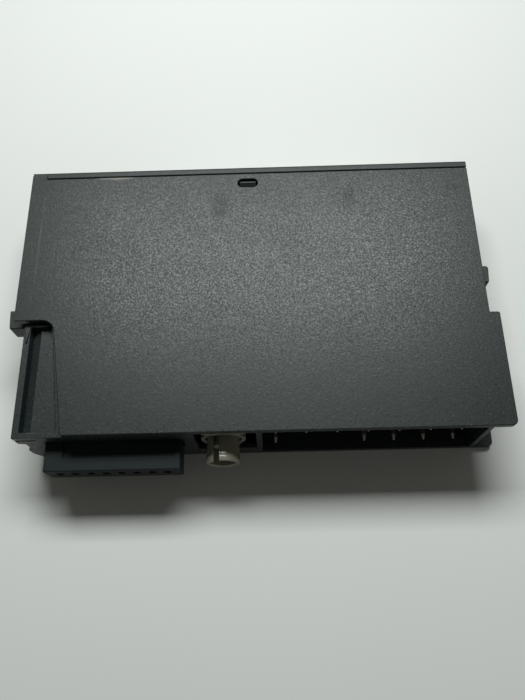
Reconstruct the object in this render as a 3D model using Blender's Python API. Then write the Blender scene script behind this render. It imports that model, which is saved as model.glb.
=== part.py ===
"""Electronics module of a modular industrial I/O station, lying on its side.

A slim housing of two moulded half shells and a front cap holds one circuit board. Its rear plugs
into a terminal base: a bus connector, a coding key and two rows of contact pins stand there. Two
latch arms, one in each end wall, hold it in the base, and a label strip slides into the front.

+X runs along the module's long side, +Y from the rear to the front and +Z through its thickness,
up from the side it lies on. Sizes are in millimetres, and Y counts from the rear edge of the side
plates. The module empty moves all of it so that the frame's origin is under the middle of its box.
"""

import math

import bmesh
import bpy
from mathutils import Matrix, Vector

MM = 0.001

# Driving dimensions of the housing
THICKNESS = 15.0
FRONT_HALF = 40.5  # half length of the front part
REAR_HALF = 38.9  # half length of the part that enters the base
EAR_REACH = 42.2  # the two guide ears at the +X end
PLATE = 1.2  # side plates
WALL = 1.2  # walls of the front part
REAR_WALL = 1.0  # walls of the rear part
STEP_Y = 19.8  # where the rear part widens into the front part
PLATE_FRONT = 50.7  # front edge of the side faces
CROWN_FRONT = 52.0  # the front cap's crown
SEAM_Y = 49.5  # joint between the cap and the shells
GAP = 0.3  # between pieces that meet
SEAM_GAP = 0.24  # open width of the cap's seam
SINK = 0.4  # how far joined solids reach into each other
EAR_RADII = (0.9, 0.3)  # rear and front corners of the ears

# The side cover's cut-away corner, and the guide that lies open there
CUT_REAR_X, CUT_FRONT_X = -30.6, -33.7
CUT_RADIUS = 2.3
TAB_EDGE = -37.7  # the seam turns forwards here, and leaves the cover's corner tab
FILL_X = (-38.4, -36.5)
GROOVE_EDGE = -36.2  # from the end wall to the ledge
GROOVE_FLOOR = 10.2
LEDGE_TOP = 12.7
LEDGE_FLOOR = 11.2
LEDGE_END = -29.4
LEDGE_REAR = 0.5
PARTING_Z = (12.2, 12.5)
PARTING_DEPTH = 0.3

# Snap hook and its slot in each side plate
SLOT_X, SLOT_Y, SLOT_RADIUS = (-2.0, 1.7), (46.4, 48.25), 0.9
HOOK_X = (-1.7, 1.4)
HOOK_REAR, BARB_REAR, BARB_FRONT = 46.7, 47.3, 47.95
HOOK_THICKNESS = 1.1

# Latches
LATCH_REACH = 42.6
LATCH_LOW, LATCH_HIGH = 8.2, 12.0
LATCH_PIVOT = (37.75, 45.6)
LEFT_HEAD = (20.2, 23.7)
RIGHT_HEAD = (26.9, 30.2)
LEFT_WINDOW_END = -35.7
WINDOW_PLAY = 0.5
ARM_LOW = 3.0
ARM_THICKNESS = 1.2
BARREL_RADIUS = 1.2
PIVOT_RADIUS = 0.6

# Circuit board and what stands on it
BOARD_LOW, BOARD_HIGH = 7.2, 8.8
BOARD_FRONT = 45.3
SOLDER = 0.15  # height of the solder under a component
PIN_ROW_HIGH, PIN_ROW_LOW = 11.0, 4.9
PIN_PITCH = 5.08
PIN_FIRST = 3.84
PIN_TIP = 0.6
PIN_SIDE = 0.6
HIGH_PINS = (0, 1, 2, 3, 4, 5, 6)
LOW_PINS = (0, 3, 4, 5, 6)  # two positions of this row are left empty
CARRIER_Y = (5.2, 8.2)

# Bus connector
BUS_X = (-34.2, -11.8)
BUS_Z = (6.0, 10.8)
BUS_REAR = -4.9
BUS_FRONT = 4.6
BUS_PITCH = 2.54
BUS_CONTACTS = 8
BUS_AXIS_Z = 8.65

# Coding key
KEY_X, KEY_Z = -5.0, 8.0
KEY_OPENING_X = (-9.5, 0.6)
BASE_LOW, BASE_HIGH = 4.2, 13.2
BASE_Y = (0.5, 4.6)
BASE_RADIUS = 3.8
KEY_SLIT_X, KEY_SLIT_HALF = -5.95, 0.5
KEY_RADIUS, KEY_BORE = 2.9, 2.0
KEY_REAR, KEY_FRONT = -3.6, 3.0

# Label strip and signal lamps in the front
STRIP = (-15.5, 39.6)
STRIP_Y = (51.05, 51.35)
STRIP_Z = (2.3, 12.7)
POCKET_Y = (50.85, 51.6)
LABEL_WINDOW_X, LABEL_WINDOW_Z = (-14.5, 37.5), (3.1, 11.9)
PIPE_HALF = (1.1, 1.0)  # half width and half height of a light pipe
PIPE_REAR = 46.1
LAMP_Y = (43.6, 45.0)
LAMPS = {
    "fault": (-34.0, 1),
    "channel_1": (-29.0, 1),
    "channel_2": (-29.0, -1),
    "channel_3": (-24.0, 1),
    "channel_4": (-24.0, -1),
}

COVER_LOW = THICKNESS - PLATE
SHELL_HIGH = COVER_LOW - GAP
DEPTH_CENTRE = (CROWN_FRONT + BUS_REAR) / 2
RIB_X = (0.9, 1.6)  # between the key's opening and the pin recess
PEG_RADIUS, PEG_REACH = 0.7, 2.4
POST_RADIUS, REST_RADIUS = 1.7, 1.4
POSTS = ((-16.0, 47.4), (28.0, 47.4), (-22.0, 27.0), (22.0, 27.0))
BOARD_RESTS = ((-31.0, 40.0), (31.0, 40.0), (-33.0, 12.0), (34.0, 14.0))


def clear_scene():
    for old in list(bpy.data.objects):
        bpy.data.objects.remove(old)


def material(name, colour, roughness, metallic=0.0, alpha=1.0):
    made = bpy.data.materials.new(name)
    made.use_nodes = True
    shader = made.node_tree.nodes["Principled BSDF"]
    shader.inputs["Base Color"].default_value = (*colour, 1.0)
    shader.inputs["Roughness"].default_value = roughness
    shader.inputs["Metallic"].default_value = metallic
    shader.inputs["Alpha"].default_value = alpha
    return made


# Outlines


def rounded(corners, steps=5):
    """An outline through (x, y, radius) corners, with an arc at each corner that has a radius."""
    outline = []
    for i, (x, y, radius) in enumerate(corners):
        corner = Vector((x, y))
        if radius == 0:
            outline.append(tuple(corner))
            continue
        before = (Vector(corners[i - 1][:2]) - corner).normalized()
        after = (Vector(corners[(i + 1) % len(corners)][:2]) - corner).normalized()
        half = before.angle(after) / 2
        centre = corner + (before + after).normalized() * (radius / math.sin(half))
        start = corner + before * (radius / math.tan(half)) - centre
        turn = start.angle_signed(corner + after * (radius / math.tan(half)) - centre)
        for step in range(steps + 1):
            angle = -turn * step / steps
            spoke = Matrix.Rotation(angle, 2) @ start
            outline.append(tuple(centre + spoke))
    return outline


def circle(x, y, radius, steps=24):
    angles = [2 * math.pi * i / steps for i in range(steps)]
    return [(x + radius * math.cos(a), y + radius * math.sin(a)) for a in angles]


def rectangle(x0, x1, y0, y1, radius=0.0):
    return rounded([(x0, y0, radius), (x1, y0, radius), (x1, y1, radius), (x0, y1, radius)])


# Solids. An outline is extruded along "x", "y" or "z"; its two numbers are the other two axes.

PLACES = {
    "x": lambda u, v, w: (w, u, v),
    "y": lambda u, v, w: (u, w, v),
    "z": lambda u, v, w: (u, v, w),
}


def prism(outline, low, high, along="z"):
    mesh = bmesh.new()
    place = PLACES[along]
    base = mesh.faces.new([mesh.verts.new(place(u, v, low)) for u, v in outline])
    shift = Vector(place(0, 0, high - low))
    raised = bmesh.ops.extrude_face_region(mesh, geom=[base])["geom"]
    corners = [item for item in raised if isinstance(item, bmesh.types.BMVert)]
    bmesh.ops.translate(mesh, vec=shift, verts=corners)
    bmesh.ops.recalc_face_normals(mesh, faces=mesh.faces)
    return mesh


def block(x0, x1, y0, y1, z0, z1):
    return prism([(x0, y0), (x1, y0), (x1, y1), (x0, y1)], z0, z1)


def softened(mesh, width):
    """The same solid with every edge broken by a flat of this width."""
    bmesh.ops.bevel(mesh, geom=mesh.edges[:], offset=width, segments=1, affect="EDGES")
    return mesh


def put(name, mesh, finish, origin=(0.0, 0.0, 0.0), parent=None):
    """The bmesh, drawn in the module's millimetres, as an object whose origin is at origin."""
    bmesh.ops.translate(mesh, vec=-Vector(origin), verts=mesh.verts)
    bmesh.ops.scale(mesh, vec=(MM, MM, MM), verts=mesh.verts)
    data = bpy.data.meshes.new(name)
    mesh.to_mesh(data)
    mesh.free()
    data.materials.append(finish)
    made = bpy.data.objects.new(name, data)
    bpy.context.scene.collection.objects.link(made)
    made.parent = parent or bpy.data.objects["module"]
    made.location = Vector(origin) * MM
    return made


def boolean(target, mesh, operation):
    """Adds the bmesh to target, or cuts it out, with a hidden helper object."""
    count = len(target.modifiers)
    helper = put(f"{target.name}_helper_{count}", mesh, target.data.materials[0])
    helper.hide_render = True
    helper.display_type = "WIRE"
    made = target.modifiers.new(f"{operation.lower()}_{count}", "BOOLEAN")
    made.operation = operation
    made.solver = "EXACT"
    made.object = helper


def join(target, *meshes):
    for mesh in meshes:
        boolean(target, mesh, "UNION")


def cut(target, *meshes):
    for mesh in meshes:
        boolean(target, mesh, "DIFFERENCE")


# Housing


def wall_outline(inset_front, inset_rear, rear_y, front_y):
    """The housing's plan: a wide front part and a narrower rear part."""
    front, rear = FRONT_HALF - inset_front, REAR_HALF - inset_rear
    step = STEP_Y + inset_front
    return [
        (-rear, rear_y),
        (rear, rear_y),
        (rear, step),
        (front, step),
        (front, front_y),
        (-front, front_y),
        (-front, step),
        (-rear, step),
    ]


def make_side_cover(finish):
    """The upper side plate. Its rear corner at the -X end is cut away on a slant."""
    front = SEAM_Y - SEAM_GAP / 2
    cut_front = STEP_Y + 0.5
    outline = rounded(
        [
            (CUT_REAR_X, 0, 0.3),
            (EAR_REACH, 0, EAR_RADII[0]),
            (EAR_REACH, STEP_Y, EAR_RADII[1]),
            (FRONT_HALF, STEP_Y, 0),
            (FRONT_HALF, front, 0),
            (TAB_EDGE, front, 0),
            (TAB_EDGE, PLATE_FRONT, 0),
            (-FRONT_HALF, PLATE_FRONT, 0.6),
            (-FRONT_HALF, cut_front, 0),
            (CUT_FRONT_X, cut_front, CUT_RADIUS),
        ]
    )
    cover = put("side_cover", prism(outline, COVER_LOW, THICKNESS), finish)
    cut(cover, prism(snap_slot(), COVER_LOW - 1, THICKNESS + 1))
    for x, y in POSTS:
        peg = circle(x, y, PEG_RADIUS, 16)
        join(cover, prism(peg, SHELL_HIGH - PEG_REACH, COVER_LOW + SINK))


def snap_slot():
    """The long hole in each side plate that the cap's hook snaps into."""
    return rectangle(*SLOT_X, *SLOT_Y, SLOT_RADIUS)


def make_housing_shell(finish):
    """The lower half shell: side plate, walls, rear openings and the posts inside."""
    front = SEAM_Y - SEAM_GAP / 2
    shell = put("housing_shell", prism(wall_outline(0, 0, 0, front), 0, SHELL_HIGH), finish)
    cavity = wall_outline(WALL, REAR_WALL, REAR_WALL, front + 1)
    cut(shell, prism(cavity, PLATE, THICKNESS))
    root = REAR_HALF - REAR_WALL
    ear = [
        (root, 0, 0),
        (EAR_REACH, 0, EAR_RADII[0]),
        (EAR_REACH, STEP_Y, EAR_RADII[1]),
        (root, STEP_Y + SINK, 0),
    ]
    join(shell, prism(rounded(ear), 0, PLATE))
    cut_rear_openings(shell)
    cut_latch_windows(shell)
    add_guide_corner(shell)
    add_inner_posts(shell)
    cut(shell, prism(snap_slot(), -1, PLATE + 1))


def cut_rear_openings(shell):
    """Openings for the bus connector, the coding key and the contact pins, and a rib."""
    past = REAR_WALL + GAP
    bus = (BUS_X[0] - GAP, BUS_X[1] + GAP, -1, past, BUS_Z[0] - GAP, BUS_Z[1] + GAP)
    cut(shell, block(*bus))
    cut(shell, block(*KEY_OPENING_X, -1, past, BASE_LOW - GAP, THICKNESS))
    cut(shell, block(RIB_X[1], REAR_HALF - REAR_WALL, -1, past, PLATE, THICKNESS))
    join(shell, block(*RIB_X, 0.2, CARRIER_Y[1], PLATE - SINK, SHELL_HIGH))


def cut_latch_windows(shell):
    """Openings in the end walls for the latch heads. The one at -X runs up to the wall's edge."""
    low, high = LATCH_LOW - WINDOW_PLAY, LATCH_HIGH + WINDOW_PLAY
    outer = FRONT_HALF + 1
    left = (STEP_Y - GAP, LEFT_HEAD[1] + WINDOW_PLAY)
    right = (RIGHT_HEAD[0] - WINDOW_PLAY, RIGHT_HEAD[1] + WINDOW_PLAY)
    cut(shell, block(-outer, LEFT_WINDOW_END, *left, low, THICKNESS))
    cut(shell, block(FRONT_HALF - WALL - GAP, outer, *right, low, high))


def add_guide_corner(shell):
    """The open corner at -X: a groove behind the end wall, a ledge beside it and a rim."""
    front = STEP_Y + 0.05
    web = (GROOVE_EDGE, BUS_X[0] - 2 * GAP)  # between the groove and the ledge
    ledge = (GROOVE_EDGE, LEDGE_END)
    length = (LEDGE_REAR, front)
    under = BOARD_HIGH + GAP
    rim = [
        (CUT_REAR_X - 1.1, LEDGE_REAR),
        (LEDGE_END, LEDGE_REAR),
        (LEDGE_END, front),
        (CUT_FRONT_X + 0.7, front),
        (CUT_FRONT_X - 0.2, STEP_Y - CUT_RADIUS),
    ]
    tab_rear, tab_front = STEP_Y - 3.1, STEP_Y - 0.35
    tab = [(-38.4, tab_rear), (-38.1, tab_rear), (-37.8, tab_front), (-38.75, tab_front)]
    join(
        shell,
        block(*FILL_X, LEDGE_REAR, STEP_Y - 0.5, PLATE - SINK, under + SINK),
        block(FILL_X[0], web[1], *length, under, GROOVE_FLOOR),
        block(*web, *length, under, LEDGE_TOP - SINK),
        block(*ledge, *length, LEDGE_FLOOR, LEDGE_TOP),
        prism(rim, LEDGE_TOP - 0.7, SHELL_HIGH),
        prism(tab, SHELL_HIGH - 1, SHELL_HIGH + 0.5),
    )
    guide = [(-40, 10.9), (-38.9, 10.9), (-37.7, 8.4), (-38.55, 5.6), (-38.35, -1), (-40, -1)]
    cut(shell, prism(guide, -1, STEP_Y - GAP, "y"))
    parting_x = PARTING_DEPTH - REAR_HALF
    cut(shell, block(-REAR_HALF - 1, parting_x, -1, STEP_Y - GAP, *PARTING_Z))
    cut(shell, block(-REAR_HALF - 1, BUS_X[0] - 2 * GAP, -1, PARTING_DEPTH, *PARTING_Z))


def add_inner_posts(shell):
    """Sockets for the cover's pegs, rests for the board and the pivots of the latch arms."""
    low = PLATE - SINK
    for x, y in POSTS:
        join(shell, prism(circle(x, y, POST_RADIUS), low, SHELL_HIGH - 0.4))
        cut(shell, prism(circle(x, y, PEG_RADIUS + GAP, 16), SHELL_HIGH - 3, THICKNESS))
    for x, y in BOARD_RESTS:
        join(shell, prism(circle(x, y, REST_RADIUS, 16), low, BOARD_LOW - 0.2))
    for side in (-1, 1):
        x, y = side * LATCH_PIVOT[0], LATCH_PIVOT[1]
        join(shell, prism(circle(x, y, PIVOT_RADIUS, 16), low, SHELL_HIGH - 0.6))


def make_front_cap(finish):
    """A channel that closes the front, with lamp windows, label pocket and two snap hooks."""
    rear = SEAM_Y + SEAM_GAP / 2
    inner = PLATE_FRONT - 0.4
    profile = [
        (rear, THICKNESS),
        (PLATE_FRONT, THICKNESS),
        (CROWN_FRONT, THICKNESS - 2),
        (CROWN_FRONT, 2),
        (PLATE_FRONT, 0),
        (rear, 0),
        (rear, PLATE),
        (inner, PLATE),
        (inner, COVER_LOW),
        (rear, COVER_LOW),
    ]
    cap = put("front_cap", prism(profile, -FRONT_HALF, FRONT_HALF, "x"), finish)
    for side in (-1, 1):
        ends = sorted((side * FRONT_HALF, side * (FRONT_HALF - WALL)))
        join(cap, block(*ends, rear, PLATE_FRONT, SINK, THICKNESS - SINK))
    corner = (-FRONT_HALF - 1, TAB_EDGE + SEAM_GAP, rear - 1, PLATE_FRONT + SEAM_GAP)
    cut(cap, block(*corner, COVER_LOW - SEAM_GAP, THICKNESS + 1))
    for x, side in LAMPS.values():
        z = lamp_height(side)
        half_x, half_z = PIPE_HALF[0] + 0.2, PIPE_HALF[1] + 0.2
        window = (x - half_x, x + half_x, rear - 1, CROWN_FRONT + 1, z - half_z, z + half_z)
        cut(cap, block(*window))
    pocket_z = (STRIP_Z[0] - GAP, STRIP_Z[1] + GAP)
    cut(cap, block(STRIP[0] - 0.5, FRONT_HALF + 1, *POCKET_Y, *pocket_z))
    cut(cap, block(*LABEL_WINDOW_X, POCKET_Y[1] - 0.2, CROWN_FRONT + 1, *LABEL_WINDOW_Z))
    add_snap_hook(cap, 1)
    add_snap_hook(cap, -1)


def add_snap_hook(cap, side):
    """A tongue that reaches rearwards under the side plate, with a barb in the plate's slot."""
    middle = THICKNESS / 2
    flat = middle - PLATE - GAP  # the tongue's outer face, from the middle of the thickness
    reaches = (flat, flat - HOOK_THICKNESS, middle - 0.5)
    outer, inner, barb = [middle + side * reach for reach in reaches]
    tongue = [
        (PLATE_FRONT, outer),
        (BARB_FRONT, outer),
        (BARB_FRONT, barb),
        (BARB_REAR, barb),
        (HOOK_REAR, outer),
        (HOOK_REAR, inner),
        (PLATE_FRONT, inner),
    ]
    join(cap, prism(tongue, *HOOK_X, "x"))


def make_label_strip(finish):
    rear, front = STRIP_Y
    strip = block(*STRIP, rear, front, *STRIP_Z)
    put("label_strip", strip, finish, origin=(STRIP[0], (rear + front) / 2, THICKNESS / 2))


def make_latch(name, side, head, finish):
    """An arm on a pivot at the front, with the locking head near its rear end."""
    x, y = side * LATCH_PIVOT[0], LATCH_PIVOT[1]
    inner, outer = x - side * ARM_THICKNESS / 2, x + side * ARM_THICKNESS / 2
    low, high = ARM_LOW, LATCH_HIGH
    latch = put(
        name,
        prism(circle(x, y, BARREL_RADIUS), low, high),
        finish,
        origin=(x, y, (LATCH_LOW + LATCH_HIGH) / 2),
    )
    arm_rear = max(head[0], STEP_Y + WALL + GAP)
    join(latch, block(*sorted((inner, outer)), arm_rear, y, low, high))
    tip = side * LATCH_REACH
    outline = [(inner, head[0], 0), (tip, head[0], 0.3), (tip, head[1], 0.4), (inner, head[1], 0)]
    join(latch, prism(rounded(outline), LATCH_LOW, LATCH_HIGH))
    cut(latch, prism(circle(x, y, PIVOT_RADIUS + 0.15, 16), low - 1, high + 1))


# Circuit board and connectors


def make_board(finish):
    outline = [
        (-36.0, 5.0),
        (0.6, 5.0),
        (0.6, CARRIER_Y[1] + 0.3),
        (36.6, CARRIER_Y[1] + 0.3),
        (36.6, 18.4),
        (34.5, 19.6),
        (34.5, BOARD_FRONT),
        (-34.5, BOARD_FRONT),
        (-34.5, 19.6),
        (-36.0, 18.4),
    ]
    board = put("circuit_board", prism(outline, BOARD_LOW, BOARD_HIGH), finish)
    for x, y in POSTS[2:]:
        cut(board, prism(circle(x, y, 2.0), BOARD_LOW - 1, BOARD_HIGH + 1))


def bus_contact_x():
    middle = sum(BUS_X) / 2
    first = middle - BUS_PITCH * (BUS_CONTACTS - 1) / 2
    return [first + BUS_PITCH * i for i in range(BUS_CONTACTS)]


def make_bus_connector(plastic, metal):
    """A socket block with one row of forked contacts. The board's edge lies behind it."""
    body = softened(block(*BUS_X, BUS_REAR, BUS_FRONT, *BUS_Z), 0.25)
    connector = put("bus_connector", body, plastic)
    cut(connector, block(-30.0, BUS_X[1] - 0.9, -2.7, 0.4, BUS_Z[1] - 0.5, BUS_Z[1] + 1))
    half = 0.65
    for i, x in enumerate(bus_contact_x()):
        low, high = BUS_AXIS_Z - 0.9, BUS_AXIS_Z + 0.9
        cut(connector, block(x - half, x + half, BUS_REAR - 1, BUS_FRONT + 1, low, high))
        put(f"bus_contact_{i + 1}", bus_contact(x), metal)


def bus_contact(x):
    """A tuning-fork contact whose upper edge runs on as a solder tail over the board."""
    low, high = BUS_AXIS_Z - 0.65, BUS_AXIS_Z + 0.65
    tail = BOARD_HIGH + SOLDER
    profile = [
        (BUS_REAR + 0.35, low),
        (4.2, low),
        (4.2, tail),
        (7.4, tail),
        (7.4, high),
        (BUS_REAR + 0.35, high),
        (BUS_REAR + 0.65, high - 0.4),
        (-1.2, BUS_AXIS_Z + 0.15),
        (-1.2, BUS_AXIS_Z - 0.15),
        (BUS_REAR + 0.65, low + 0.4),
    ]
    return prism(profile, x - 0.45, x + 0.45, "x")


def pin_name(row, position):
    return f"contact_pin_{row}_{position + 1}"


def make_pins(metal, plastic):
    """Two rows of bent pins through an insulating carrier at the back of the rear recess."""
    carrier = put(
        "pin_carrier",
        block(1.9, REAR_HALF - REAR_WALL - GAP, *CARRIER_Y, PLATE + GAP, SHELL_HIGH - 0.1),
        plastic,
    )
    rows = (
        ("high", HIGH_PINS, PIN_ROW_HIGH, BOARD_HIGH + SOLDER, 1),
        ("low", LOW_PINS, PIN_ROW_LOW, BOARD_LOW - SOLDER, -1),
    )
    for row, positions, z, seat, side in rows:
        for position in positions:
            x = PIN_FIRST + PIN_PITCH * position
            hole = PIN_SIDE / 2 + 0.15
            span = (CARRIER_Y[0] - 1, CARRIER_Y[1] + 1)
            cut(carrier, block(x - hole, x + hole, *span, z - hole, z + hole))
            put(pin_name(row, position), bent_pin(x, z, seat, side), metal)


def bent_pin(x, z, seat, side):
    """A square pin with a tapered tip that steps towards the board and lies along it."""
    half = PIN_SIDE / 2
    near, far = z - side * half, z + side * half
    foot_far = seat + side * 0.5
    profile = [
        (PIN_TIP, z - side * 0.12),
        (PIN_TIP + 0.9, near),
        (9.2, near),
        (9.2, seat),
        (12.0, seat),
        (12.0, foot_far),
        (9.9, foot_far),
        (9.9, far),
        (PIN_TIP + 0.9, far),
        (PIN_TIP, z + side * 0.12),
    ]
    return prism(profile, x - half, x + half, "x")


def make_coding(light, base_finish):
    """A slotted tube, the key, plugged over the stub of a base that is clipped into the rear."""
    neck, shoulder, rim = 2.7, 10.6, 12.8
    left, right = KEY_OPENING_X[0] + GAP, KEY_OPENING_X[1] - SINK
    wing = [
        (left, BASE_HIGH),
        (left, rim),
        (KEY_X - neck, shoulder),
        (KEY_X - neck, BASE_LOW),
        (KEY_X + neck, BASE_LOW),
        (KEY_X + neck, shoulder),
        (right, rim),
        (right, BASE_HIGH),
    ]
    base = put("coding_base", prism(wing, *BASE_Y, "y"), base_finish)
    join(base, prism(circle(KEY_X, KEY_Z, BASE_RADIUS), *BASE_Y, "y"))
    cut(base, prism(circle(KEY_X, KEY_Z, KEY_RADIUS + 0.15), -1, KEY_FRONT + 0.3, "y"))
    join(base, prism(circle(KEY_X, KEY_Z, KEY_BORE - 0.25), -0.8, 4.0, "y"))
    key = put(
        "coding_key",
        prism(circle(KEY_X, KEY_Z, KEY_RADIUS, 32), KEY_REAR, KEY_FRONT, "y"),
        light,
        origin=(KEY_X, KEY_REAR, KEY_Z),
    )
    cut(key, prism(circle(KEY_X, KEY_Z, KEY_BORE, 32), KEY_REAR - 1, KEY_FRONT + 1, "y"))
    slit_x = (KEY_SLIT_X - KEY_SLIT_HALF, KEY_SLIT_X + KEY_SLIT_HALF)
    cut(key, block(*slit_x, KEY_REAR - 1, KEY_FRONT - 1.2, KEY_Z, KEY_Z + KEY_RADIUS + 1))


# Parts on the board


def lamp_height(side):
    """Middle of a lamp's light pipe: side 1 is over the board, side -1 is under it."""
    return 10.0 if side > 0 else 6.0


def make_lamps(pipe_finish, lamp_finish):
    for name, (x, side) in LAMPS.items():
        z = lamp_height(side)
        half_x, half_z = PIPE_HALF
        front = CROWN_FRONT - 0.05
        pipe = block(x - half_x, x + half_x, PIPE_REAR, front, z - half_z, z + half_z)
        put(f"light_pipe_{name}", pipe, pipe_finish)
        face = BOARD_HIGH + SOLDER if side > 0 else BOARD_LOW - SOLDER
        heights = sorted((face, face + side * 1.0))
        put(f"lamp_{name}", block(x - 1.0, x + 1.0, *LAMP_Y, *heights), lamp_finish)


def make_components(black, metal, can):
    top, under = BOARD_HIGH + SOLDER, BOARD_LOW - SOLDER
    chips = {
        "logic_chip": (-14.0, -2.0, 28.0, 40.0, top, top + 1.6),
        "driver_chip_1": (4.0, 12.0, 31.0, 37.0, top, top + 1.7),
        "driver_chip_2": (4.0, 12.0, 21.0, 27.0, top, top + 1.7),
        "fuse": (24.0, 30.4, 32.0, 35.0, under - 2.6, under),
    }
    for i in range(4):
        x = 5.5 + 7.6 * i
        chips[f"optocoupler_{i + 1}"] = (x, x + 4.6, 13.5, 18.0, top, top + 2.1)
    for name, sides in chips.items():
        put(name, softened(block(*sides), 0.25), black)
    crystal = prism(rectangle(-18.0, -7.4, 20.5, 24.9, 2.1), top, top + 3.4)
    put("crystal", crystal, metal)
    coil = prism(rectangle(-16.0, -6.0, 10.0, 20.0, 2.2), under - 4.6, under)
    put("coil", coil, black)
    for i, y in enumerate((15.5, 22.5)):
        height = under - 2.6
        capacitor = prism(circle(y, height, 2.5), 6.0, 16.0, "x")
        put(f"capacitor_{i + 1}", capacitor, can)


def main():
    clear_scene()
    module = bpy.data.objects.new("module", None)
    bpy.context.scene.collection.objects.link(module)
    module.location = (0, -DEPTH_CENTRE * MM, 0)

    housing = material("housing_plastic", (0.075, 0.085, 0.085), 0.5)
    dark = material("connector_plastic", (0.022, 0.028, 0.03), 0.45)
    light = material("key_plastic", (0.62, 0.58, 0.47), 0.4)
    base_finish = material("key_base_plastic", (0.4, 0.39, 0.34), 0.5)
    tin = material("contact_metal", (0.62, 0.61, 0.57), 0.35, metallic=1.0)
    label = material("label_plastic", (0.75, 0.76, 0.74), 0.6)
    clear = material("light_pipe_plastic", (0.6, 0.65, 0.6), 0.15)
    lamp = material("lamp_resin", (0.7, 0.65, 0.35), 0.3)
    board = material("board_laminate", (0.02, 0.12, 0.05), 0.4)
    black = material("component_epoxy", (0.02, 0.02, 0.022), 0.6)
    can = material("component_can", (0.5, 0.5, 0.52), 0.3, metallic=1.0)

    make_side_cover(housing)
    make_housing_shell(housing)
    make_front_cap(housing)
    make_label_strip(label)
    make_latch("latch_left", -1, LEFT_HEAD, housing)
    make_latch("latch_right", 1, RIGHT_HEAD, housing)
    make_board(board)
    make_bus_connector(dark, tin)
    make_pins(tin, dark)
    make_coding(light, base_finish)
    make_lamps(clear, lamp)
    make_components(black, tin, can)


main()
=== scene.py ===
"""Looks of the plug-in electronics module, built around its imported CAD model.

The module lies on its side with its rear towards the camera. Each housing part, connector, latch,
key and pin is made again here with rounded edges and fine detail, in the place of its CAD node.
The parts inside the housing stay as they are and get finished materials.

Shapes are drawn in millimetres, in the module's own directions: x along the long side, y from the
rear edge of the side plates to the front, z up through the thickness.
"""

import math

import bmesh
import bpy
from mathutils import Matrix, Vector


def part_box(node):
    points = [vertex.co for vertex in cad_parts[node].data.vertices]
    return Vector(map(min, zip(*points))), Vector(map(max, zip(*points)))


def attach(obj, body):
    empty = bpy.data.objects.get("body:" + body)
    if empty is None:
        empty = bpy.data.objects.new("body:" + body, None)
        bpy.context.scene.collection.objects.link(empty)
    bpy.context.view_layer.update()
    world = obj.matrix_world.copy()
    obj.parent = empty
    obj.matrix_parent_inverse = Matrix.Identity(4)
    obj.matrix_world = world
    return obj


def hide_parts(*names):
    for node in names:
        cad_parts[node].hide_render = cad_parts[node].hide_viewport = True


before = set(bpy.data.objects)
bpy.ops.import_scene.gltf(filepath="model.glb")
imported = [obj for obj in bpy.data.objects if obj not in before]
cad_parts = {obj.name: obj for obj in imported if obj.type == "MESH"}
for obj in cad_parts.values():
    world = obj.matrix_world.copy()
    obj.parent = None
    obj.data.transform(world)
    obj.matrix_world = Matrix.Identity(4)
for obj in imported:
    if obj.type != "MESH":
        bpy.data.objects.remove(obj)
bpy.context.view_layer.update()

MM = 0.001
REAR_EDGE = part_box("side_cover")[0].y  # where y is 0


def local_box(node):
    """A CAD node's lowest and highest corners, in the module's millimetres."""
    return [(corner - Vector((0, REAR_EDGE, 0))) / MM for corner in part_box(node)]


# Sizes that the frame gives
EAR_REACH = local_box("side_cover")[1].x
THICKNESS = local_box("side_cover")[1].z
PLATE_FRONT = local_box("side_cover")[1].y
FRONT_HALF = local_box("front_cap")[1].x
CROWN_FRONT = local_box("front_cap")[1].y
SEAM_REAR = local_box("housing_shell")[1].y
LATCH_REACH = local_box("latch_right")[1].x

# Sizes of the housing's details
PLATE = 1.2
WALL = 1.2
REAR_WALL = 1.0
REAR_HALF = 38.9  # half the length of the housing's narrower rear part
STEP_Y = 19.8  # the housing widens here to its front part
SEAM_FRONT = SEAM_REAR + 0.15
COVER_LOW = THICKNESS - PLATE
SHELL_HIGH = COVER_LOW - 0.1
SINK = 0.4  # how far an added part reaches into the wall that it stands on
EDGE = 0.15  # radius of the mouldings' edges
TAB_EDGE = -37.7  # the seam turns forwards here, and leaves the cover's corner tab
CUT_REAR, CUT_FRONT = -30.6, -33.7  # ends of the cover's slanted edge at -X
SNAP_SLOT = (-2.0, 1.7, 46.4, 48.25)  # x and y ranges of the hole for the cap's hook
KEY_OPENING = (-9.5, 0.6, 3.9)  # x range and lower side of the opening around the coding key
RIB = (0.9, 1.6)  # x range of the wall between the key's opening and the pin recess
WINDOW = (7.7, 12.5)  # z range of the latch windows
LATCH_HEAD_LOW = 5.2  # height of the latch head's lower face over the latch arm's
HALF_PIN = 0.3  # half the contact pins' thickness
POCKET = (-16.0, 50.85, 51.6, 2.0, 13.0)  # the label pocket's inner end, and its y and z ranges
LABEL_WINDOW = (-14.5, 37.5, 3.1, 11.9)  # x and z ranges of the opening over the label

# Sizes of the open corner at -X
RAIL_END, GROOVE_EDGE = -37.8, -36.2  # x range of the groove behind the end wall
GROOVE_FLOOR = 11.8
LEDGE_REAR = 0.95  # the groove and the ledge begin here
LEDGE_TOP = 12.7
LEDGE_END = -34.8  # inner end of the wall under the ledge
RIM_END, RIM_LOW = -29.4, 11.2  # inner end and lower side of the rim beside the ledge
BACKING = (-38.4, -36.5)  # x range of the wall behind the end wall's waist
CLOSING = (-38.2, -33.9)  # x range of the wall that closes the corner to the front
SLIT_HIGH = 12.4  # height of the slits in the end wall and the rear wall

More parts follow.
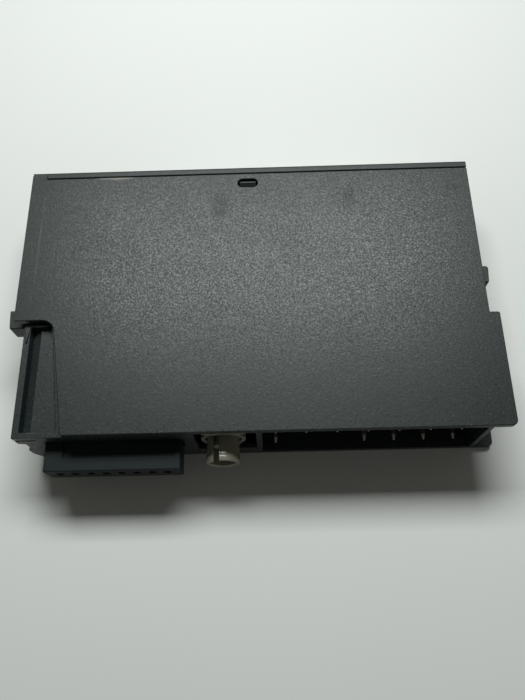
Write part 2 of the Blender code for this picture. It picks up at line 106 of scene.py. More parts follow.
# Places of the latches' pivots, the cover's posts and the board's rests
PIVOT_RADIUS, PIN_RADIUS = 1.2, 0.6  # of a latch arm's round end, and of the pin in it
PIVOT_X = -local_box("latch_left")[1].x + PIVOT_RADIUS
PIVOT_Y = local_box("latch_left")[1].y - PIVOT_RADIUS
POSTS = ((-16.0, 47.4), (28.0, 47.4), (-22.0, 27.0), (22.0, 27.0))
BOARD_RESTS = ((-31.0, 40.0), (31.0, 40.0), (-33.0, 12.0), (34.0, 14.0))

LAMP_NAMES = [node[11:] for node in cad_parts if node.startswith("light_pipe_")]
CONTACTS = sum(node.startswith("bus_contact_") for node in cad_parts)

# Marks on the cover: the middle, half the size along x and half the size along y of each
FINGER_MARKS = ((-5.2, 42.6, 2.0, 3.6), (18.3, 43.4, 1.5, 3.4), (37.0, 45.0, 1.6, 1.0))
SEAM_SCUFF = (-24.8, 49.3, 3.8, 0.55)
# A painted highlight along a witness line from the mould, where its ridge would catch the light.
WITNESS_LINE_HIGHLIGHT = (TAB_EDGE, 35.5, 0.2, 10.5)

# The camera
LENS = 33.905  # millimetres
CAMERA_PLACE = (0.00373, -0.05091, 0.11653)  # metres
CAMERA_TURN, CAMERA_TILT, CAMERA_ROLL = 2.394, 22.086, -3.670  # degrees


# Outlines


def rounded(corners, steps=6):
    """An outline through (u, v, radius) corners, with an arc at each corner that has a radius."""
    outline = []
    for i, (u, v, radius) in enumerate(corners):
        corner = Vector((u, v))
        if radius == 0:
            outline.append(corner)
            continue
        before = (Vector(corners[i - 1][:2]) - corner).normalized()
        after = (Vector(corners[(i + 1) % len(corners)][:2]) - corner).normalized()
        half = before.angle(after) / 2
        centre = corner + (before + after).normalized() * (radius / math.sin(half))
        start = corner + before * (radius / math.tan(half)) - centre
        turn = start.angle_signed(corner + after * (radius / math.tan(half)) - centre)
        for step in range(steps + 1):
            outline.append(centre + Matrix.Rotation(-turn * step / steps, 2) @ start)
    return outline


def rectangle(u0, u1, v0, v1, radius=0.0):
    return rounded([(u0, v0, radius), (u1, v0, radius), (u1, v1, radius), (u0, v1, radius)])


def circle(u, v, radius, steps=40):
    angles = [2 * math.pi * i / steps for i in range(steps)]
    return [Vector((u + radius * math.cos(a), v + radius * math.sin(a))) for a in angles]


def inset(outline, distance):
    """The outline with each side moved inwards by the distance, or outwards if it is negative."""
    if distance == 0:
        return list(outline)
    turn = sum(outline[i - 1].cross(corner) for i, corner in enumerate(outline))
    inwards = distance if turn > 0 else -distance
    moved = []
    for i, corner in enumerate(outline):
        before = (corner - outline[i - 1]).normalized()
        after = (outline[(i + 1) % len(outline)] - corner).normalized()
        normals = Vector((-before.y, before.x)), Vector((-after.y, after.x))
        mitre = (normals[0] + normals[1]) / (1 + normals[0].dot(normals[1]))
        moved.append(corner + mitre * inwards)
    return moved


# Solids

PLACES = {
    "x": lambda u, v, w: (w, u, v),
    "y": lambda u, v, w: (u, w, v),
    "z": lambda u, v, w: (u, v, w),
}


def loft(layers, along="z"):
    """A closed solid through (outline, height) layers, whose outlines have as many points each."""
    mesh = bmesh.new()
    place = PLACES[along]
    loops = [[mesh.verts.new(place(*p, height)) for p in outline] for outline, height in layers]
    mesh.faces.new(loops[0])
    mesh.faces.new(loops[-1])
    for lower, upper in zip(loops, loops[1:]):
        for i in range(len(lower)):
            mesh.faces.new((lower[i - 1], lower[i], upper[i], upper[i - 1]))
    bmesh.ops.remove_doubles(mesh, verts=mesh.verts, dist=1e-4)
    bmesh.ops.recalc_face_normals(mesh, faces=mesh.faces)
    return mesh


def solid(outline, low, high, along="z", rims=(0.0, 0.0), steps=3):
    """An extruded outline whose lower and upper rims are rounded with these radii."""
    layers = []
    for end, radius, side in ((low, rims[0], 1), (high, rims[1], -1)):
        if radius == 0:
            arc = [(list(outline), end)]
        else:
            angles = [math.pi / 2 * i / steps for i in range(steps + 1)]
            arc = [
                (
                    inset(outline, radius * (1 - math.sin(a))),
                    end + side * radius * (1 - math.cos(a)),
                )
                for a in angles
            ]
        layers += arc if side > 0 else arc[::-1]
    return loft(layers, along)


def block(x0, x1, y0, y1, z0, z1, rim=0.0):
    """A box whose rims have the radius rim. Its upright edges are a little rounder."""
    return solid(rectangle(x0, x1, y0, y1, 1.2 * rim), z0, z1, rims=(rim, rim))


def mouth(outline, bottom, surface, along="z", radius=0.12):
    """A cutter from bottom to surface and past it, which rounds the edge that it leaves there."""
    out = 1 if surface > bottom else -1
    steps = 3
    layers = [(list(outline), bottom)]
    for i in range(steps + 1):
        angle = math.pi / 2 * i / steps
        flare = inset(outline, -radius * (1 - math.cos(angle)))
        layers.append((flare, surface - out * radius * (1 - math.sin(angle))))
    layers.append((inset(outline, -radius), surface + out))
    return loft(layers, along)


def scaled(mesh):
    """The bmesh as mesh data, in metres and in the scene's frame."""
    bmesh.ops.scale(mesh, vec=(MM, MM, MM), verts=mesh.verts)
    bmesh.ops.translate(mesh, vec=(0, REAR_EDGE, 0), verts=mesh.verts)
    data = bpy.data.meshes.new("shape")
    mesh.to_mesh(data)
    mesh.free()
    return data


def linked(name, data):
    made = bpy.data.objects.new(name, data)
    bpy.context.scene.collection.objects.link(made)
    return made


def shape(name, base, *changes):
    """An object made of the base solid and (operation, solid, ...) changes, one after another."""
    made = linked(name, scaled(base))
    helpers = []
    for operation, *meshes in changes:
        for mesh in meshes:
            helper = linked(f"{name}_helper", scaled(mesh))
            modifier = made.modifiers.new("boolean", "BOOLEAN")
            modifier.operation = operation
            modifier.solver = "EXACT"
            modifier.object = helper
            helpers.append(helper)
    settle(made)
    for helper in helpers:
        bpy.data.objects.remove(helper)
    return made


def settle(made):
    """Applies the modifiers and shades the result smooth, except over real corners."""
    bpy.context.view_layer.update()
    graph = bpy.context.evaluated_depsgraph_get()
    data = bpy.data.meshes.new_from_object(made.evaluated_get(graph))
    made.modifiers.clear()
    made.data = data
    data.name = made.name
    data.shade_smooth()
    data.set_sharp_from_angle(angle=math.radians(35))
    weighted = made.modifiers.new("weighted_normals", "WEIGHTED_NORMAL")
    weighted.keep_sharp = True


def show(made, finish, body, slot, *nodes):
    """Gives the piece its material and body, and hides the CAD nodes that it stands for."""
    made.data.materials.clear()
    made.data.materials.append(finish)
    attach(made, body)
    if nodes:
        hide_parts(*nodes)
    return made


# Materials


def socket_name(word):
    return " ".join(part.capitalize() if part != "IOR" else part for part in word.split("_"))


class Nodes:
    """Short calls that add nodes to one material and join them."""

    def __init__(self, name, **values):
        self.material = bpy.data.materials.new(name)
        self.material.use_nodes = True
        self.tree = self.material.node_tree
        self.shader = self.tree.nodes["Principled BSDF"]
        self.place = self.node("ShaderNodeTexCoord").outputs["Object"]
        for word, value in values.items():
            self.shader.inputs[socket_name(word)].default_value = value

    def node(self, kind, **settings):
        made = self.tree.nodes.new(kind)
        for name, value in settings.items():
            setattr(made, name, value)
        return made

    def join(self, value, socket):
        """Sets a socket to a constant, or links it to another socket."""
        if isinstance(value, bpy.types.NodeSocket):
            self.tree.links.new(value, socket)
        else:
            socket.default_value = value

    def stretched(self, x=1.0, y=1.0):
        """The coordinates multiplied by these factors."""
        made = self.node("ShaderNodeMapping")
        self.join(self.place, made.inputs["Vector"])
        made.inputs["Scale"].default_value = (x, y, 1.0)
        return made.outputs["Vector"]

    def tumbled(self):
        """The coordinates turned askew, so that no face lies along the noise's lattice."""
        made = self.node("ShaderNodeMapping")
        self.join(self.place, made.inputs["Vector"])
        made.inputs["Rotation"].default_value = (0.6, 0.9, 0.4)
        return made.outputs["Vector"]

    def noise(self, size, detail=2.0, roughness=0.5, place=None):
        """Noise from about 0 to 1 whose largest features are about size millimetres."""
        made = self.node("ShaderNodeTexNoise")
        self.join(place or self.place, made.inputs["Vector"])
        made.inputs["Scale"].default_value = 1 / (size * MM)
        made.inputs["Detail"].default_value = detail
        made.inputs["Roughness"].default_value = roughness
        return made.outputs["Fac"]

    def remap(self, value, low, high, to_low=0.0, to_high=1.0):
        """The value's stretch from low to high, mapped to another stretch and held at its ends."""
        made = self.node("ShaderNodeMapRange")
        for name, part in zip(("Value", "From Min", "From Max"), (value, low, high)):
            self.join(part, made.inputs[name])
        made.inputs["To Min"].default_value = to_low
        made.inputs["To Max"].default_value = to_high
        return made.outputs["Result"]

    def math(self, operation, *values):
        made = self.node("ShaderNodeMath", operation=operation)
        for value, socket in zip(values, made.inputs):
            self.join(value, socket)
        return made.outputs["Value"]

    def blend(self, share, first, second):
        """A colour between two colours, by share."""
        made = self.node("ShaderNodeMix", data_type="RGBA")
        sockets = [s for s in made.inputs if s.type == "RGBA"]
        self.join(share, made.inputs[0])
        for value, socket in zip((first, second), sockets):
            self.join((*value, 1.0) if isinstance(value, tuple) else value, socket)
        return next(s for s in made.outputs if s.type == "RGBA")

    def bump(self, height, depth, under=None):
        """Surface relief of about depth millimetres, on top of another relief."""
        made = self.node("ShaderNodeBump")
        self.join(height, made.inputs["Height"])
        made.inputs["Distance"].default_value = depth * MM
        if under is not None:
            self.join(under, made.inputs["Normal"])
        return made.outputs["Normal"]

    def patch(self, x, y, half_x, half_y):
        """A ragged, soft-edged spot around a place on the side face: 1 in its middle."""
        place_x, place_y, _ = self.split()
        u = self.math("DIVIDE", self.math("SUBTRACT", place_x, x * MM), half_x * MM)
        v = self.math("DIVIDE", self.math("SUBTRACT", place_y, y * MM + REAR_EDGE), half_y * MM)
        squares = self.math("ADD", self.math("MULTIPLY", u, u), self.math("MULTIPLY", v, v))
        ragged = self.math("ADD", squares, self.noise(1.6, detail=4.0))
        return self.remap(ragged, 1.6, 0.6)

    def split(self):
        made = self.node("ShaderNodeSeparateXYZ")
        self.join(self.place, made.inputs["Vector"])
        return made.outputs["X"], made.outputs["Y"], made.outputs["Z"]

    def finish(self, colour=None, roughness=None, normal=None):
        for value, name in ((colour, "Base Color"), (roughness, "Roughness"), (normal, "Normal")):
            if value is not None:
                self.join(value, self.shader.inputs[name])
        return self.material


def housing_plastic(name, grain_depth=0.018, roughness=(0.22, 0.58), used=False):
    """Glass-filled anthracite plastic from a spark-eroded mould: fine grain with tiny sparkles.

    The used one also has finger marks, a scuff at the seam and a painted highlight along a witness
    line from its mould, where light would catch the line's ridge.
    """
    n = Nodes(name, Specular_IOR_Level=0.3)
    grain = n.noise(0.31, detail=3.0, roughness=0.8, place=n.tumbled())
    relief = n.bump(n.noise(0.4, detail=2.0, roughness=0.6, place=n.tumbled()), grain_depth)
    relief = n.bump(n.noise(22.0, detail=1.0), 0.03, under=relief)
    cloud = n.remap(n.noise(17.0, detail=4.0, roughness=0.6), 0.35, 0.7)
    colour = n.blend(cloud, (0.0205, 0.0278, 0.0278), (0.0240, 0.0312, 0.0312))
    speck = n.remap(n.noise(0.42, detail=2.0, place=n.tumbled()), 0.58, 0.74)
    colour = n.blend(n.math("MULTIPLY", speck, 0.36), colour, (0.11, 0.12, 0.12))
    smear = n.remap(n.noise(9.0, detail=5.0, roughness=0.65), 0.3, 0.75, -0.02, 0.03)
    rough = n.math("ADD", n.remap(grain, 0.36, 0.64, *roughness), smear)
    if used:
        marks = [n.patch(*place) for place in FINGER_MARKS]
        mark = n.math("MAXIMUM", n.math("MAXIMUM", *marks[:2]), marks[2])
        rough = n.math("ADD", rough, n.math("MULTIPLY", mark, 0.07))
        colour = n.blend(n.math("MULTIPLY", mark, 0.3), colour, (0.02, 0.026, 0.025))
        scuff = n.math("MULTIPLY", n.patch(*SEAM_SCUFF), 0.75)
        # Painted highlight: a lighter line along the mould's witness line, standing in for the
        # light its ridge catches.
        line = n.math("MULTIPLY", n.patch(*WITNESS_LINE_HIGHLIGHT), 0.3)
        colour = n.blend(line, colour, (0.115, 0.125, 0.125))
        colour = n.blend(scuff, colour, (0.22, 0.215, 0.19))
    return n.finish(colour, rough, relief)


def connector_plastic():
    """Darker, bluish moulding with a semi-gloss surface and fine flow marks."""
    n = Nodes("connector_plastic", Specular_IOR_Level=0.08)
    relief = n.bump(n.noise(0.5, detail=3.0, roughness=0.6), 0.01)
    flow = n.noise(3.0, detail=3.0, place=n.stretched(x=0.25))
    colour = n.blend(n.remap(flow, 0.35, 0.65), (0.019, 0.0245, 0.0255), (0.023, 0.029, 0.030))
    rough = n.remap(n.noise(4.0, detail=4.0), 0.3, 0.7, 0.42, 0.55)
    return n.finish(colour, rough, relief)


def key_plastic():
    """Off-white, slightly translucent plastic that has yellowed unevenly."""
    n = Nodes(
        "key_plastic",
        Subsurface_Weight=0.15,
        Subsurface_Radius=(0.001, 0.0008, 0.0005),
        Subsurface_Scale=0.6,
    )
    colour = n.blend(
        n.remap(n.noise(2.2, detail=4.0), 0.35, 0.7), (0.25, 0.238, 0.188), (0.31, 0.297, 0.238)
    )
    lines = n.noise(0.25, detail=2.0, place=n.stretched(y=0.06))
    rough = n.remap(n.noise(1.5, detail=4.0), 0.3, 0.7, 0.12, 0.2)
    return n.finish(colour, rough, n.bump(lines, 0.008))


def key_base_plastic():
    n = Nodes("key_base_plastic")
    colour = n.blend(
        n.remap(n.noise(1.8, detail=3.0), 0.35, 0.7), (0.20, 0.205, 0.165), (0.26, 0.26, 0.21)
    )
    relief = n.bump(n.noise(0.35, detail=3.0), 0.012)
    rough = n.remap(n.noise(2.0, detail=3.0), 0.3, 0.7, 0.42, 0.55)
    return n.finish(colour, rough, relief)


def tin_metal():
    """Tin-plated bronze: satin metal with drawing lines and a little tarnish."""
    n = Nodes("contact_metal", Metallic=1.0)
    stain = n.remap(n.noise(1.2, detail=5.0, roughness=0.65), 0.5, 0.75)
    colour = n.blend(stain, (0.66, 0.65, 0.60), (0.46, 0.43, 0.37))
    lines = n.noise(0.08, detail=2.0, place=n.stretched(y=0.04))
    rough = n.remap(n.noise(0.9, detail=4.0), 0.3, 0.7, 0.26, 0.42)
    return n.finish(colour, rough, n.bump(lines, 0.003))


def label_card():
    """Blank pale card with paper fibres and a faint rule at each end of a terminal's field."""
    n = Nodes("label_card")
    x, _, _ = n.split()
    field_width = 6.9 * MM
    field = n.math("FRACT", n.math("DIVIDE", x, field_width))
    rule = n.math("LESS_THAN", n.math("ABSOLUTE", n.math("SUBTRACT", field, 0.5)), 0.012)
    fibres = n.noise(0.5, detail=6.0, roughness=0.7)
    paper = n.blend(n.remap(fibres, 0.3, 0.7), (0.66, 0.67, 0.65), (0.74, 0.75, 0.72))
    colour = n.blend(n.math("MULTIPLY", rule, 0.6), paper, (0.33, 0.35, 0.36))
    rough = n.remap(fibres, 0.3, 0.7, 0.55, 0.7)
    return n.finish(colour, rough, n.bump(fibres, 0.01))


def clear_plastic():
    """Frosted light pipe plastic."""
    n = Nodes("light_pipe_plastic", Transmission_Weight=0.55, IOR=1.49)
    colour = n.blend(n.noise(1.5, detail=3.0), (0.70, 0.74, 0.70), (0.78, 0.81, 0.77))
    rough = n.remap(n.noise(0.4, detail=3.0), 0.3, 0.7, 0.2, 0.32)
    return n.finish(colour, rough, n.bump(n.noise(0.3), 0.006))


def lamp_resin():
    n = Nodes("lamp_resin", Coat_Weight=0.4)
    colour = n.blend(n.noise(0.6, detail=3.0), (0.62, 0.55, 0.22), (0.74, 0.70, 0.42))
    rough = n.remap(n.noise(0.4, detail=3.0), 0.3, 0.7, 0.22, 0.38)
    return n.finish(colour, rough, n.bump(n.noise(0.25), 0.004))


def board_laminate():
    """Green solder mask with raised copper tracks under it and a faint glass weave showing through
    it all over.
    """
    n = Nodes("board_laminate", Coat_Weight=0.25)
    cell, tracks_per_cell = 2.6 * MM, 2.6
    cells = n.node("ShaderNodeTexVoronoi", feature="F1", distance="MANHATTAN")
    n.join(n.place, cells.inputs["Vector"])
    cells.inputs["Scale"].default_value = 1 / cell
    cells.inputs["Randomness"].default_value = 0.7
    bands = n.math("FRACT", n.math("MULTIPLY", cells.outputs["Distance"], tracks_per_cell))
    track = n.remap(n.math("ABSOLUTE", n.math("SUBTRACT", bands, 0.5)), 0.2, 0.26)
    mask = n.blend(track, (0.012, 0.075, 0.032), (0.03, 0.15, 0.06))
    weave = n.math("MULTIPLY", n.noise(0.5, place=n.stretched(x=0.2)), n.noise(0.5))
    colour = n.blend(n.math("MULTIPLY", weave, 0.3), mask, (0.10, 0.20, 0.09))
    rough = n.remap(n.noise(5.0, detail=3.0), 0.3, 0.7, 0.28, 0.42)
    return n.finish(colour, rough, n.bump(track, 0.035))


def component_epoxy():
    n = Nodes("component_epoxy")
    grit = n.noise(0.12, detail=3.0, roughness=0.7)
    cloud = n.remap(n.noise(3.0, detail=3.0), 0.3, 0.7)
    colour = n.blend(cloud, (0.016, 0.016, 0.018), (0.028, 0.028, 0.03))
    rough = n.remap(grit, 0.3, 0.7, 0.5, 0.68)
    return n.finish(colour, rough, n.bump(grit, 0.01))


def component_can():
    n = Nodes("component_can", Metallic=1.0)
    lines = n.noise(0.1, detail=2.0, place=n.stretched(x=0.05))
    colour = n.blend(n.noise(2.0, detail=4.0), (0.48, 0.48, 0.50), (0.60, 0.60, 0.62))
    rough = n.remap(lines, 0.3, 0.7, 0.24, 0.38)
    return n.finish(colour, rough, n.bump(lines, 0.004))


# Housing


def snap_slot():
    """The long hole in each side plate that the cap's hook snaps into."""
    return rectangle(*SNAP_SLOT, 0.9)


def make_cover(finish):
    """The upper side plate, with the slanted corner, the guide ear and the hook's slot."""
    outline = rounded(
        [
            (CUT_REAR, 0, 0.3),
            (EAR_REACH, 0, 0.9),
            (EAR_REACH, STEP_Y, 0.35),
            (FRONT_HALF, STEP_Y, 0.15),
            (FRONT_HALF, SEAM_REAR, 0.2),
            (TAB_EDGE, SEAM_REAR, 0),
            (TAB_EDGE, PLATE_FRONT, 0.2),
            (-FRONT_HALF, PLATE_FRONT, 0.6),
            (-FRONT_HALF, STEP_Y + 0.5, 0.2),
            (CUT_FRONT, STEP_Y + 0.5, 2.3),
        ]
    )
    peg_radius, peg_low = 0.7, SHELL_HIGH - 2.4
    pegs = [solid(circle(*post, peg_radius), peg_low, COVER_LOW + SINK) for post in POSTS]
    made = shape(
        "cover",
        solid(outline, COVER_LOW, THICKNESS, rims=(0.05, EDGE)),
        ("DIFFERENCE", mouth(snap_slot(), COVER_LOW - 1, THICKNESS)),
        ("UNION", *pegs),
    )
    show(made, finish, "module", "housing", "side_cover")


def housing_outline(inset_front, inset_rear, rear_y, front_y, radius):
    """The housing's plan: a wide front part and a narrower rear part."""
    front, rear = FRONT_HALF - inset_front, REAR_HALF - inset_rear
    step = STEP_Y + inset_front
    return rounded(
        [
            (-rear, rear_y, radius),
            (rear, rear_y, radius),
            (rear, step, radius),
            (front, step, radius),
            (front, front_y, 0),
            (-front, front_y, 0),
            (-front, step, radius),
            (-rear, step, radius),
        ]
    )


def make_shell(finish):
    """The lower half shell, with the rear openings, the latch windows and the guide corner."""
    cavity = housing_outline(WALL, REAR_WALL, REAR_WALL, SEAM_REAR + 1, 0.3)
    root = REAR_HALF - 0.9
    ear = [(root, 0, 0), (EAR_REACH, 0, 0.9), (EAR_REACH, STEP_Y, 0.35), (root, STEP_Y, 0)]
    made = shape(
        "shell",
        solid(housing_outline(0, 0, 0, SEAM_REAR, 0.3), 0, SHELL_HIGH, rims=(0.2, 0.05)),
        ("DIFFERENCE", solid(cavity, PLATE, THICKNESS)),
        ("UNION", solid(rounded(ear), 0, PLATE, rims=(0.2, 0.12))),
        *rear_openings(),
        *latch_windows(),
        *guide_corner(),
        *inner_posts(),
        ("DIFFERENCE", mouth(snap_slot(), PLATE + 1, 0)),
    )
    show(made, finish, "module", "housing", "housing_shell")


def rear_openings():
    """Openings for the bus connector, the coding key and the contact pins."""
    past, play = REAR_WALL + 0.3, 0.2
    low, high = local_box("bus_connector")
    bus = rectangle(low.x - play, high.x + play, low.z - play, high.z + play, 0.3)
    key = rectangle(*KEY_OPENING, THICKNESS + 1)
    recess = rectangle(RIB[1], REAR_HALF - REAR_WALL, PLATE, THICKNESS + 1)
    openings = [mouth(outline, past, 0, "y") for outline in (bus, key, recess)]
    rib_front = local_box("pin_carrier")[1].y
    rib = block(*RIB, 0.15, rib_front, PLATE - SINK, SHELL_HIGH)
    return ("DIFFERENCE", *openings), ("UNION", rib)


def latch_windows():
    """Openings in the end walls for the latch heads. The one at -X runs up to the wall's edge."""
    rear = local_box("latch_right")[0].y - 0.5
    window = rectangle(rear, rear + 4.3, *WINDOW, 0.3)
    inner_end, front = -35.7, 24.2
    open_window = block(-FRONT_HALF - 1, inner_end, STEP_Y - 0.3, front, WINDOW[0], THICKNESS)
    return (("DIFFERENCE", open_window, mouth(window, 39.0, FRONT_HALF, "x")),)


def guide_corner():
    """The open corner at -X: a groove behind the end wall, a ledge beside it and a rim."""
    front = STEP_Y + 0.05
    guide_front = STEP_Y - 0.3
    outside = -REAR_HALF - 1.1
    under = local_box("circuit_board")[1].z + 0.3
    backing = block(*BACKING, 0.5, STEP_Y - 0.5, PLATE - SINK, under + SINK)
    ledge_wall = block(-REAR_HALF, LEDGE_END, 0, front, under, LEDGE_TOP)
    rim = block(-REAR_HALF, RIM_END, 0, front, RIM_LOW, SHELL_HIGH, 0.08)
    groove = solid(groove_outline(), LEDGE_REAR, front, "y")
    ledge = mouth(ledge_outline(front), LEDGE_TOP, SHELL_HIGH, radius=0.15)
    tab = solid(tab_outline(), SHELL_HIGH - 1, SHELL_HIGH + 0.3, rims=(0, 0.08))
    waist = solid(end_wall_outline(outside), -1, guide_front, "y")
    end_slit = block(outside, -38.6, -1, guide_front, SLIT_HIGH - 0.2, SLIT_HIGH + 0.1)
    rear_slit = block(outside, -35.4, -1, REAR_WALL, SLIT_HIGH - 0.6, SLIT_HIGH)
    closing = block(*CLOSING, front - 0.2, front + 0.3, LEDGE_TOP - SINK, SHELL_HIGH)
    return (
        ("UNION", backing, ledge_wall, rim),
        ("DIFFERENCE", groove, ledge),
        ("UNION", tab),
        ("DIFFERENCE", waist, end_slit, rear_slit),
        ("UNION", closing),
    )


def groove_outline():
    """The groove's section, in x and z: it is deeper beside the end wall."""
    points = [
        (RAIL_END, THICKNESS),
        (RAIL_END, GROOVE_FLOOR),
        (GROOVE_EDGE, LEDGE_TOP - 0.1),
        (GROOVE_EDGE, THICKNESS),
    ]
    return [Vector(point) for point in points]


def ledge_outline(front):
    """The sunk ledge's plan: its inner side slants like the cover's edge."""
    return rounded(
        [
            (GROOVE_EDGE, LEDGE_REAR, 0),
            (-31.75, LEDGE_REAR, 0.2),
            (-33.85, 17.5, 0.6),
            (-34.4, front, 0),
            (GROOVE_EDGE, front, 0),
        ]
    )


def tab_outline():
    """The plan of the small tab on the end wall's top, beside the latch head."""
    rear, front = 16.7, 19.4
    return rounded([(-38.4, rear, 0), (-38.15, rear, 0), (-37.85, front, 0), (-38.75, front, 0)])


def end_wall_outline(outside):
    """What is cut off the end wall's outer side, in x and z: it leaves a waist and a bulge."""
    return rounded(
        [
            (outside, 10.2, 0),
            (-38.6, 10.2, 0.15),
            (-37.7, 9.9, 0.3),
            (-37.8, 7.7, 0.5),
            (-38.85, 5.4, 0.3),
            (-38.75, 3.7, 0.5),
            (-37.9, 1.2, 0.3),
            (-37.9, -1, 0),
            (outside, -1, 0),
        ]
    )


def inner_posts():
    """Sockets for the cover's pegs, rests for the board and the pivots of the latch arms."""
    low = PLATE - SINK
    post_high, rest_high = SHELL_HIGH - 0.4, local_box("circuit_board")[0].z - 0.2
    post_radius, socket_radius, rest_radius = 1.7, 1.0, 1.4
    posts, sockets, rests, pivots = [], [], [], []
    for post in POSTS:
        posts.append(solid(circle(*post, post_radius), low, post_high, rims=(0, 0.15)))
        sockets.append(solid(circle(*post, socket_radius), SHELL_HIGH - 3, THICKNESS))
    for rest in BOARD_RESTS:
        rests.append(solid(circle(*rest, rest_radius), low, rest_high, rims=(0, 0.2)))
    for side in (-1, 1):
        outline = circle(side * PIVOT_X, PIVOT_Y, PIN_RADIUS)
        pivots.append(solid(outline, low, SHELL_HIGH - 0.6, rims=(0, 0.15)))
    return ("UNION", *posts), ("DIFFERENCE", *sockets), ("UNION", *rests, *pivots)


def make_cap(finish):
    """A channel that closes the front, with lamp windows, label pocket and two snap hooks."""
    inner = PLATE_FRONT - 0.4
    slope = 2  # how far the crown lies in from both side plates
    profile = rounded(
        [
            (SEAM_FRONT, THICKNESS, 0.2),
            (PLATE_FRONT, THICKNESS, 0.5),
            (CROWN_FRONT, THICKNESS - slope, 0.9),
            (CROWN_FRONT, slope, 0.9),
            (PLATE_FRONT, 0, 0.5),
            (SEAM_FRONT, 0, 0.2),
            (SEAM_FRONT, PLATE, 0),
            (inner, PLATE, 0.2),
            (inner, COVER_LOW, 0.2),
            (SEAM_FRONT, COVER_LOW, 0),
        ]
    )
    ends = []
    for x0, x1 in ((-FRONT_HALF, WALL - FRONT_HALF), (FRONT_HALF - WALL, FRONT_HALF)):
        ends.append(block(x0, x1, SEAM_FRONT, PLATE_FRONT + 0.3, 0.5, THICKNESS - 0.5, 0.1))
    corner = (-FRONT_HALF - 1, TAB_EDGE + 0.03, SEAM_FRONT - 1, PLATE_FRONT + 0.05)
    openings = []
    play = 0.15
    for name in LAMP_NAMES:
        low, high = local_box(f"light_pipe_{name}")
        opening = rectangle(low.x - play, high.x + play, low.z - play, high.z + play, 0.2)
        openings.append(mouth(opening, SEAM_FRONT - 1, CROWN_FRONT, "y"))
    openings.append(block(POCKET[0], FRONT_HALF + 1, *POCKET[1:]))
    openings.append(mouth(rectangle(*LABEL_WINDOW, 0.6), POCKET[2] - 0.2, CROWN_FRONT, "y"))
    made = shape(
        "cap",
        solid(profile, -FRONT_HALF, FRONT_HALF, "x", (0.1, 0.1)),
        ("UNION", *ends),
        ("DIFFERENCE", block(*corner, COVER_LOW - 0.1, THICKNESS + 1)),
        ("DIFFERENCE", *openings),
        ("UNION", snap_hook(1), snap_hook(-1)),
    )
    show(made, finish, "module", "housing", "front_cap")


def snap_hook(side):
    """A tongue that reaches rearwards under the side plate, with a barb in the plate's slot."""
    middle = THICKNESS / 2
    # Distances from the middle of the thickness
    outer_face = middle - PLATE - 0.2
    inner_face = outer_face - 1.1
    crest = middle - 0.5
    outer, inner, top = [middle + side * reach for reach in (outer_face, inner_face, crest)]
    rear, crest_rear, crest_front = 46.7, 47.7, 48.0
    tongue = [
        (PLATE_FRONT, outer, 0),
        (crest_front, outer, 0),
        (crest_front, top, 0.08),
        (crest_rear, top, 0.15),
        (rear, outer, 0.1),
        (rear, inner, 0.2),
        (PLATE_FRONT, inner, 0),
    ]
    play = 0.3
    return solid(rounded(tongue), SNAP_SLOT[0] + play, SNAP_SLOT[1] - play, "x", (0.08, 0.08))


def make_latch(name, node, body, side, finish):
    """An arm on a pivot at the front, with the locking head near its rear end."""
    low, high = local_box(node)
    half_arm = 0.6
    inner, outer = sorted((side * (PIVOT_X - half_arm), side * (PIVOT_X + half_arm)))
    pivot = (side * PIVOT_X, PIVOT_Y)
    head_length, front_radius = (3.5, 0.3) if side < 0 else (3.3, 0.5)
    head_front = low.y + head_length
    arm_rear = max(low.y, STEP_Y + WALL + 0.3)
    tip = side * LATCH_REACH
    root = side * (PIVOT_X - half_arm)
    head = [
        (root, low.y, 0),
        (tip - side * 0.25, low.y, 0.3),
        (tip, head_front, front_radius),
        (root, head_front, 0),
    ]
    arm = block(inner, outer, arm_rear, PIVOT_Y, low.z, high.z, 0.12)
    made = shape(
        name,
        solid(circle(*pivot, PIVOT_RADIUS), low.z, high.z, rims=(0.15, 0.15)),
        ("UNION", arm, solid(rounded(head), low.z + LATCH_HEAD_LOW, high.z, rims=(0.2, 0.2))),
        ("DIFFERENCE", solid(circle(*pivot, PIN_RADIUS + 0.15), low.z - 1, high.z + 1)),
    )
    show(made, finish, body, "housing", node)


# Connectors, key and contacts


def make_bus_connector(finish):
    """A socket block with a lip, a shallow recess in its top and one chamber for each contact."""
    low, high = local_box("bus_connector")
    recess_front, lip_front, depth, play = 0.4, -2.7, 0.3, 0.1
    recess = rectangle(low.x + 3.0, high.x - 0.9, lip_front, recess_front, 0.15)
    ribs = []
    for x in (-23.9, -23.2):
        ribs.append(block(x, x + 0.3, -4.3, lip_front, high.z - depth, high.z + 0.06))
    chambers = []
    for i in range(CONTACTS):
        a, b = local_box(f"bus_contact_{i + 1}")
        chamber = rectangle(a.x - play, b.x + play, a.z - play, b.z + play, 0.1)
        chambers.append(mouth(chamber, high.y + 1, low.y, "y", radius=0.06))
    made = shape(
        "bus_socket",
        block(low.x, high.x, low.y, high.y, low.z, high.z, 0.22),
        ("DIFFERENCE", solid(recess, high.z - depth, high.z + 1)),
        ("UNION", *ribs),
        ("DIFFERENCE", *chambers),
    )
    show(made, finish, "module", "connector", "bus_connector")


